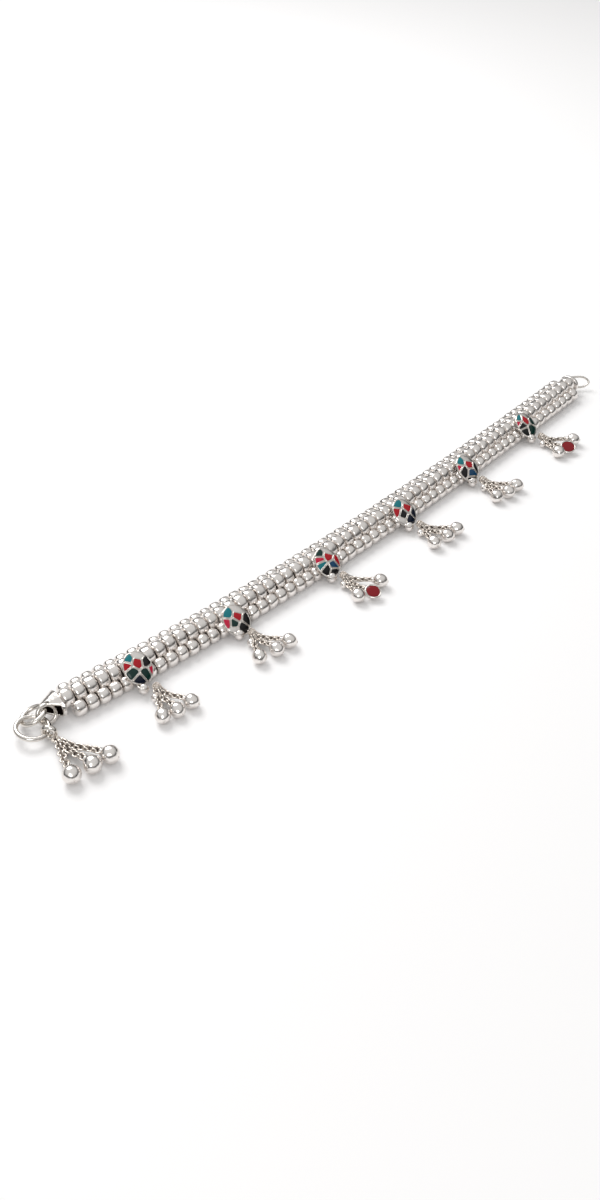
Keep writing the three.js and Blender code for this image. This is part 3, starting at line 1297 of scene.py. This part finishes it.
    def build_collar(self, shop: Workshop) -> None:
        """The collar: a barrel with three rings of granules, its axis out from the strap."""
        outwards = Matrix.Rotation(-math.pi / 2, 4, "Z")
        place = self.place @ Matrix.Translation((1.5, -6.6, 2.5)) @ outwards
        core = lathe([(-1.1, 0.0), (-1.05, 0.75), (0.0, 1.0), (1.05, 0.75), (1.1, 0.0)], 24)
        barrel = core.moved(place).mesh(self.name + "_barrel")
        barrel.materials.append(GRANULES.material())
        spots: list[Vector] = []
        for x, radius, count in ((-0.72, 0.92, 10), (0.0, 1.05, 12), (0.72, 0.92, 10)):
            for i in range(count):
                turn = 2 * math.pi * (i + 0.5 * (x == 0)) / count
                spots.append(place @ Vector((x, radius * math.cos(turn), radius * math.sin(turn))))
        grains = shop.granules.grow(
            self.name + "_grains", path_mesh(self.name + "_spots", [[s] for s in spots], False),
            {"Radius": 0.29 * MM, "Material": GRANULES.material()},
        )
        mesh = joined(self.name + "_collar_silver", [barrel, grains])
        node = self.name + "_collar"
        finished(self.name + "_collar_silver", mesh, [], [node])

    def build_tassel(self, shop: Workshop) -> None:
        """The chains with their knob, and the bells or the enamelled drop."""
        bell = Bell()
        tassel = Tassel(
            (1.2, 6.5, 2.2), 1.5, self.angles, self.reaches,
            link=0.5, link_wire=0.24, strand=0.8,
        )
        necks = [bell.length] * 3
        heights = [bell.radius] * 3
        if self.disc:
            necks[1], heights[1] = 2.6, 1.6
        paths = tassel.strands(self.place, necks, heights)
        chains = tassel.chains(shop, self.name + "_links", paths)
        knob = lathe([(1.15 * math.sin(t), 1.15 * math.cos(t)) for t in arc(-90, 90, 14)], 24)
        knob.bumped(0.12, 1.1, self.number + 0.5)
        knob = knob.moved(self.place @ Matrix.Translation((-0.7, -8.7, 1.3)))
        ball = knob.mesh(self.name + "_ball")
        ball.materials.append(POLISHED.material())
        mesh = joined(self.name + "_chains_silver", [chains, ball])
        node = self.name + "_chains"
        finished(self.name + "_chains_silver", mesh, [], [node])
        for i in range(3):
            if self.disc and i == 1:
                self.build_disc(shop, tassel)
                continue
            name = f"{self.name}_bell_{i + 1}"
            where = tassel.facing(i, self.place, bell.radius)
            shape = bell.shape(self.number + i / 3).moved(where)
            shape_mesh = shape.mesh(name + "_silver")
            finished(name + "_silver", shape_mesh, [POLISHED.material()], [name])

    def build_disc(self, shop: Workshop, tassel: Tassel) -> None:
        """The enamelled drop: a silver cup, a bezel and a red enamel dome."""
        node = f"{self.name}_disc_2"
        lean = Matrix.Rotation(math.radians(20), 4, Vector((-0.786, -0.62, 0)))
        where = tassel.facing(1, self.place, 0.8) @ Matrix.Translation((0.6, 0, 0)) @ lean
        pointed = 1.55 if self.number == 3 else 2.0
        ring = superoval(2.55, 2.3 if self.number == 3 else 2.55, pointed, 48)
        levels = ((1.0, 2.0), (1.0, 1.5), (0.8, 0.8), (0.5, 0.25), (0.2, 0.05))
        rings: list[Any] = [[(0.86 * x, 0.86 * y, 1.85) for x, y in ring]]
        rings += [[(share * x, share * y, z) for x, y in ring] for share, z in levels]
        cup = capped_rings([(0, 0, 1.85), *rings, (0, 0, 0.02)]).moved(where).mesh(node + "_cup")
        cup.materials.append(SHEET.material())
        bezel_path = [where @ Vector((0.92 * x, 0.92 * y, 1.9)) for x, y in ring]
        bezel = shop.sweep(node + "_bezel", [bezel_path], 0.2, WIRE, closed=True, sides=8)
        mesh = joined(node + "_silver", [cup, bezel])
        finished(node + "_silver", mesh, [], [node])
        levels = ((0.3, 2.06), (0.55, 2.04), (0.75, 1.99), (0.86, 1.9))
        rings = [[(share * x, share * y, z) for x, y in ring] for share, z in levels]
        rings.append([(0.86 * x, 0.86 * y, 1.6) for x, y in ring])
        pillow = capped_rings([(0, 0, 2.07), *rings, (0, 0, 1.6)]).moved(where)
        glaze = pillow.mesh(node + "_enamel")
        finished(node + "_enamel", glaze, [Enamel.GARNET.value.material()], [node])


def arc(first: float, last: float, steps: int) -> list[float]:
    """Angles in radians from one to another in degrees, both ends included."""
    return [math.radians(first + (last - first) * i / steps) for i in range(steps + 1)]


def superoval(half_x: float, half_y: float, power: float, steps: int) -> list[tuple[float, float]]:
    """A superellipse: 2 is an oval, less is a leaf with points on both axes.

    Args:
        half_x: Half its size along X.
        half_y: Half its size along Y.
        power: The superellipse's power along X.
        steps: Points round it.

    Returns:
        The points.
    """
    points = []
    for i in range(steps):
        turn = 2 * math.pi * i / steps
        cosine, sine = math.cos(turn), math.sin(turn)
        x = half_x * math.copysign(abs(cosine) ** (2 / power), cosine)
        points.append((x, half_y * sine))
    return points


def capped_rings(rings: Sequence[Any]) -> Shape:
    """A closed shape from a point, rings of equal length, and a point.

    Args:
        rings: The top point, the rings from the top down, and the bottom point.

    Returns:
        The shape, its faces outwards where the rings run anticlockwise seen from the top.
    """
    top, *middle, bottom = rings
    count = len(middle[0])
    points = [top, *[p for ring in middle for p in ring], bottom]
    faces: list[Face] = []
    for i in range(count):
        j = (i + 1) % count
        faces.append((0, 1 + i, 1 + j))
        for level in range(len(middle) - 1):
            a, b = 1 + level * count, 1 + (level + 1) * count
            faces.append((a + i, b + i, b + j, a + j))
        last = 1 + (len(middle) - 1) * count
        faces.append((last + j, last + i, len(points) - 1))
    return Shape().add(points, faces)


def clipped(
    polygon: Sequence[tuple[float, float]], a: float, b: float, limit: float
) -> list[tuple[float, float]]:
    """The part of a polygon where a x + b y is at most a limit."""
    kept: list[tuple[float, float]] = []
    for (x0, y0), (x1, y1) in zip(polygon, [*polygon[1:], polygon[0]]):
        d0, d1 = a * x0 + b * y0 - limit, a * x1 + b * y1 - limit
        if d0 <= 0:
            kept.append((x0, y0))
        if d0 * d1 < 0:
            t = d0 / (d0 - d1)
            kept.append((x0 + t * (x1 - x0), y0 + t * (y1 - y0)))
    return kept


def rounded(
    polygon: Sequence[tuple[float, float]], count: int, passes: int
) -> list[tuple[float, float]]:
    """Evenly spaced points round a polygon, with its corners softened.

    Args:
        polygon: The polygon.
        count: Points wanted.
        passes: How many times each point is averaged with its neighbours.

    Returns:
        The points.
    """
    corners = [Vector(p) for p in polygon]
    sides = [(b - a).length for a, b in zip(corners, corners[1:] + corners[:1])]
    total = sum(sides)
    points: list[Vector] = []
    for k in range(count):
        distance = total * k / count
        i = 0
        while distance > sides[i] and i < len(sides) - 1:
            distance -= sides[i]
            i += 1
        a, b = corners[i], corners[(i + 1) % len(corners)]
        points.append(a.lerp(b, min(1.0, distance / max(sides[i], 1e-9))))
    for _ in range(passes):
        points = [
            (points[i - 1] + 2 * points[i] + points[(i + 1) % count]) / 4 for i in range(count)
        ]
    return [(p.x, p.y) for p in points]


# ---- Ring end ----


@dataclass(frozen=True)
class WireRing:
    """A ring of round wire and where it lies."""

    node: str
    centre: Point
    azimuth: float
    elevation: float
    radius: float
    wire: float

    def path(self, steps: int = 72) -> list[Vector]:
        """The middle of the wire, in the part's frame."""
        turn, lift = math.radians(self.azimuth), math.radians(self.elevation)
        axis = Vector(
            (math.cos(lift) * math.cos(turn), math.cos(lift) * math.sin(turn), math.sin(lift))
        )
        upright = axis.to_track_quat("Z", "Y").to_matrix()
        points = []
        for angle in arc(0, 360, steps)[:-1]:
            spoke = Vector((math.cos(angle), math.sin(angle), 0)) * self.radius
            points.append(ORIGIN + Vector(self.centre) + upright @ spoke)
        return points


RINGS = (
    WireRing("tongue_ring", (-7.86, 3.66, 3.07), 80.4, -23.7, 2.6, 0.58),
    WireRing("link_ring", (-10.57, 6.09, 2.86), 126.2, 66.6, 3.4, 0.7),
    WireRing("clasp_ring", (-13.3, 2.69, 2.61), -35.1, 82.4, 4.3, 0.68),
    WireRing("tassel_eyelet", (-11.23, -1.62, 2.49), -143.7, 2.1, 1.62, 0.74),
)


@dataclass
class RingEnd:
    """The hollow cap with its tongue, the rings, and the larger tassel."""

    radius: float = 4.5
    tip: float = 2.3
    depth: float = 4.4
    wall: float = 0.65
    flatten: float = 0.76
    up: float = 3.7
    cut_normal: Point = (-0.62, -0.75, -0.2)
    cut_through: Point = (-3.61, 3.85, 3.7)
    passage: float = 0.2  # clearance round the tongue ring

    def edge(self, angle: float, inset: float) -> float:
        """How deep the sheet reaches before the slanted cut, at an angle round the cone.

        Args:
            angle: Round the axis, from the inner side upwards.
            inset: How far inside the outer surface.

        Returns:
            The depth, from the plate.
        """
        nx, ny, nz = self.cut_normal
        limit = sum(n * t for n, t in zip(self.cut_normal, self.cut_through))
        slope = (self.tip - self.radius) / self.depth
        outer = self.radius - inset
        c, s = math.cos(angle), math.sin(angle) * self.flatten
        fixed = limit - ny * (ROW_STEP + outer * c) - nz * (self.up + outer * s)
        rate = -nx + slope * (ny * c + nz * s)
        return min(self.depth, max(0.5, fixed / rate))

    def cap(self) -> Shape:
        """The cone: outer sheet, rim and inner sheet, closed at the plate; the inner sheet is
        painted dark as shade.
        """
        sides, steps = 72, 12
        slope = (self.tip - self.radius) / self.depth

        def ring(share: float, inset: float, start: float) -> list[Point]:
            points = []
            for i in range(sides):
                angle = -2 * math.pi * i / sides
                deep = start + (self.edge(angle, inset) - start) * share
                radius = self.radius - inset + slope * deep
                wave = 0.06 * noise.noise(Vector((3 * math.cos(angle), 3 * math.sin(angle), deep)))
                y = ROW_STEP + (radius - abs(wave)) * math.cos(angle)
                z = self.up + self.flatten * (radius - abs(wave)) * math.sin(angle)
                points.append((-deep, y, z))
            return points

        outer = [ring(i / steps, 0.0, 0.0) for i in range(steps + 1)]
        lip = [ring(1.0, 0.5 * self.wall, 0.0)]
        inner = [ring(1 - i / steps, self.wall, 0.3) for i in range(steps + 1)]
        middle = (0.0, ROW_STEP, self.up)
        floor = (-0.3, ROW_STEP, self.up)
        shape = capped_rings([middle, *outer, *lip, *inner, floor])
        per_side = len(shape.faces) // sides
        # The inner sheet takes the second material, painted dark as the shade inside the hollow
        # cap.
        shape.slots = [int(i % per_side > steps + 2) for i in range(len(shape.faces))]
        return shape

    def build(self, shop: Workshop) -> None:
        """Builds the cap, the rings and the tassel.

        Args:
            shop: The shared trees.
        """
        place = strap_frame(-PITCH - CAP_GAP)
        cap = self.cap().moved(place).mesh("ring_end_cap_silver")
        # The second material is the painted shade inside the cap.
        piece = finished(
            "ring_end_cap_silver", cap, [SHEET.material(), PAINTED_SHADE_INSIDE.material()],
            ["ring_end_cap"],
        )
        self.pierce(piece, shop)
        rim = []
        for angle in arc(0, 360, 72)[:-1]:
            deep = self.edge(angle, self.wall / 2)
            radius = self.radius - self.wall / 2 + (self.tip - self.radius) / self.depth * deep
            across, rise = radius * math.cos(angle), self.flatten * radius * math.sin(angle)
            rim.append(place @ Vector((-deep, ROW_STEP + across, self.up + rise)))
        roll = shop.sweep("ring_end_rim_silver", [rim], 0.34, WIRE, closed=True, sides=10)
        finished("ring_end_rim_silver", roll, [], ["ring_end_cap"])
        for ring in RINGS:
            name = ring.node + "_silver"
            wire = shop.sweep(name, [ring.path()], ring.wire, WIRE, closed=True, sides=16)
            finished(name, wire, [], [ring.node])
        bell = Bell(2.54, 0.9, 3.4, 1.0)
        tassel = Tassel(
            (-11.2, 3.9, 1.6), 0.2, (-21.5, 1.6, 20.4), (14.7, 14.7, 16.3),
            link=0.6, link_wire=0.28, strand=0.95,
        )
        there = Matrix.Translation(ORIGIN)
        paths = tassel.strands(there, [3.4] * 3, [2.5] * 3)
        chains = tassel.chains(shop, "end_tassel_chains_silver", paths)
        finished("end_tassel_chains_silver", chains, [], ["end_tassel_chains"])
        for i in range(3):
            name = f"end_tassel_bell_{i + 1}"
            shape = bell.shape(7 + i).moved(tassel.facing(i, there, 2.6))
            data = shape.mesh(name + "_silver")
            finished(name + "_silver", data, [POLISHED.material()], [name])

    def pierce(self, cap: bpy.types.Object, shop: Workshop) -> None:
        """Cuts the tongue ring's way through the cap.

        Args:
            cap: The cap.
            shop: The shared trees.
        """
        ring = RINGS[0]
        tool_mesh = shop.sweep(
            "passage", [ring.path()], ring.wire + self.passage, WIRE, closed=True, sides=16
        )
        tool = bpy.data.objects.new("passage", tool_mesh)
        bpy.context.scene.collection.objects.link(tool)
        modifier = cap.modifiers.new("passage", "BOOLEAN")
        modifier.operation, modifier.object, modifier.solver = "DIFFERENCE", tool, "EXACT"
        bpy.context.view_layer.update()
        graph = bpy.context.evaluated_depsgraph_get()
        pierced = bpy.data.meshes.new_from_object(cap.evaluated_get(graph), depsgraph=graph)
        cap.modifiers.remove(modifier)
        bpy.data.objects.remove(tool)
        cap.data = pierced


# ---- Hook end ----


@dataclass
class HookEnd:
    """The closed cap and the bent wire hook."""

    radius: float = 3.6
    depth: float = 2.2
    flatten: float = 0.8
    up: float = 3.7
    wire: float = 0.38
    bends: tuple[Point, ...] = (
        (2.1, 4.9, 4.4), (2.85, 4.9, 4.5), (3.8, 4.7, 4.6), (6.4, 1.6, 4.6),
        (7.04, -0.6, 3.1), (5.1, 0.5, 1.6), (2.85, 3.1, 1.6), (1.9, 3.4, 2.2),
    )

    def build(self, shop: Workshop) -> None:
        """Builds the cap and the hook.

        Args:
            shop: The shared trees.
        """
        place = strap_frame(STRAP + CAP_GAP)
        profile = [(0.0, 0.0), (0.0, 0.95 * self.radius), (0.25, self.radius)]
        profile += [
            (
                0.3 * self.depth + 0.7 * self.depth * math.sin(t),
                1.5 + (self.radius - 1.5) * math.cos(t),
            )
            for t in arc(5, 90, 10)
        ]
        profile.append((self.depth, 0.0))
        cap = lathe(profile, 48).bumped(0.1, 1.4, 4.0)
        lift = Matrix.Translation((0, ROW_STEP, self.up))
        squash = lift @ Matrix.Diagonal((1, 1, self.flatten, 1))
        mesh = cap.moved(place @ squash).mesh("hook_end_cap_silver")
        node = "hook_end_cap"
        finished(node + "_silver", mesh, [SHEET.material()], [node])
        path = smooth_path([place @ Vector(b) for b in self.bends], 8)
        wire = shop.sweep("hook_silver", [path], self.wire, WIRE, sides=14)
        finished("hook_silver", wire, [], ["hook"])


# ---- Setting ----


@dataclass
class Studio:
    """The pale floor, the soft light and the camera."""

    eye: Point = (-138.39, -212.86, 239.13)
    heading: float = 43.755
    pitch: float = -39.01
    lens: float = 38.85
    floor: int = 0xFBFAFA

    def build(self) -> None:
        """Builds the setting."""
        self.build_floor()
        self.build_world()
        self.build_lights()
        self.build_camera()

    def build_floor(self) -> None:
        """A wide matt floor."""
        half = 2500.0
        corners = [(-half, -half, 0), (half, -half, 0), (half, half, 0), (-half, half, 0)]
        data = Shape().add(corners, [(0, 1, 2, 3)]).mesh("floor")
        floor = bpy.data.objects.new("floor", data)
        bpy.context.scene.collection.objects.link(floor)
        material = bpy.data.materials.new("white_paper")
        material.use_nodes = True
        shader = material.node_tree.nodes["Principled BSDF"]
        shader.inputs["Base Color"].default_value = linear(self.floor)
        shader.inputs["Roughness"].default_value = 0.6
        shader.inputs["Specular IOR Level"].default_value = 0.2
        data.materials.append(material)

    def build_world(self) -> None:
        """A white tent with a dark band low down, which draws the dark line on the silver."""
        world = bpy.data.worlds.new("tent")
        bpy.context.scene.world = world
        world.use_nodes = True
        tree = world.node_tree
        tree.nodes.clear()
        way = add_node(tree, "ShaderNodeTexCoord").outputs["Generated"]
        height = add_node(tree, "ShaderNodeSeparateXYZ", {"Vector": way}).outputs["Z"]
        ramp = add_node(tree, "ShaderNodeValToRGB", {"Fac": height})
        stops = ((0.0, 0.5), (0.02, 0.05), (0.22, 0.06), (0.36, 0.62), (0.6, 0.98), (1.0, 1.12))
        ramp.color_ramp.elements[0].position = stops[0][0]
        ramp.color_ramp.elements[0].color = (stops[0][1],) * 3 + (1,)
        ramp.color_ramp.elements[1].position = stops[-1][0]
        ramp.color_ramp.elements[1].color = (stops[-1][1],) * 3 + (1,)
        for position, value in stops[1:-1]:
            element = ramp.color_ramp.elements.new(position)
            element.color = (value, value, value * 0.99, 1)
        sky = add_node(
            tree, "ShaderNodeBackground", {"Color": ramp.outputs["Color"]}, {"Strength": 0.66}
        )
        add_node(tree, "ShaderNodeOutputWorld", {"Surface": sky.outputs["Background"]})

    def build_lights(self) -> None:
        """Two soft boxes: one high behind the anklet, one to the left of the camera."""
        for name, place, size, watts in (
            ("key", (60.0, 500.0, 560.0), 460.0, 3.6),
            ("fill", (-520.0, -380.0, 420.0), 300.0, 0.9),
        ):
            light = bpy.data.lights.new(name, "AREA")
            light.size = size * MM
            light.energy = watts
            lamp = bpy.data.objects.new(name, light)
            bpy.context.scene.collection.objects.link(lamp)
            lamp.location = Vector(place) * MM
            lamp.rotation_euler = (-Vector(place)).to_track_quat("-Z", "Y").to_euler()

    def build_camera(self) -> None:
        """The camera, level, looking down along the strap."""
        data = bpy.data.cameras.new("camera")
        data.lens = self.lens
        data.clip_start = 0.01
        camera = bpy.data.objects.new("camera", data)
        bpy.context.scene.collection.objects.link(camera)
        camera.location = (Vector(self.eye) + ORIGIN) * MM
        camera.rotation_euler = (
            math.radians(90 + self.pitch), 0.0, math.radians(self.heading - 90)
        )
        bpy.context.scene.camera = camera
        bpy.context.scene.view_settings.view_transform = "Standard"


# ---- The anklet ----

ROWS = (
    BeadRow("bead_row_front", 2.31, 0.0, BEADS, 0.12, 2.38, seed=11, squareness=3.1),
    BeadRow(
        "bead_row_middle", 2.78, -PITCH / 2, BEADS + 1, ROW_STEP - 0.28, 4.5,
        seed=12, squareness=4.0,
    ),
    BeadRow("bead_row_back", 2.31, 0.0, BEADS, 2 * ROW_STEP - 0.2, 3.0, seed=13, squareness=3.1),
)

STATIONS = (
    Station(1, 18.6, -1.0, (-26.5, -3.5, 22), (10.9, 10.5, 11.1)),
    Station(2, 51.8, 0.8, (-28, 5, 31), (10.0, 9.8, 11.2)),
    Station(3, 88.8, 0.1, (-20, 6, 34), (9.8, 11.7, 11.2), disc=True),
    Station(4, 124.4, 0.2, (-23, 10, 34), (9.6, 9.9, 11.6)),
    Station(5, 157.8, 0.0, (-26, 2, 28), (9.6, 10.0, 11.2)),
    Station(6, 193.0, -0.2, (-22, 5, 33), (10.2, 10.9, 11.0), disc=True),
)


def main() -> None:
    """Builds the anklet and its setting, piece by piece."""
    logging.basicConfig(level=logging.INFO, format="%(message)s")
    Studio().build()
    shop = Workshop()
    for row in ROWS:
        row.build(shop)
    for station in STATIONS:
        station.build(shop)
    RingEnd().build(shop)
    HookEnd().build(shop)


if __name__ == "__main__":
    main()
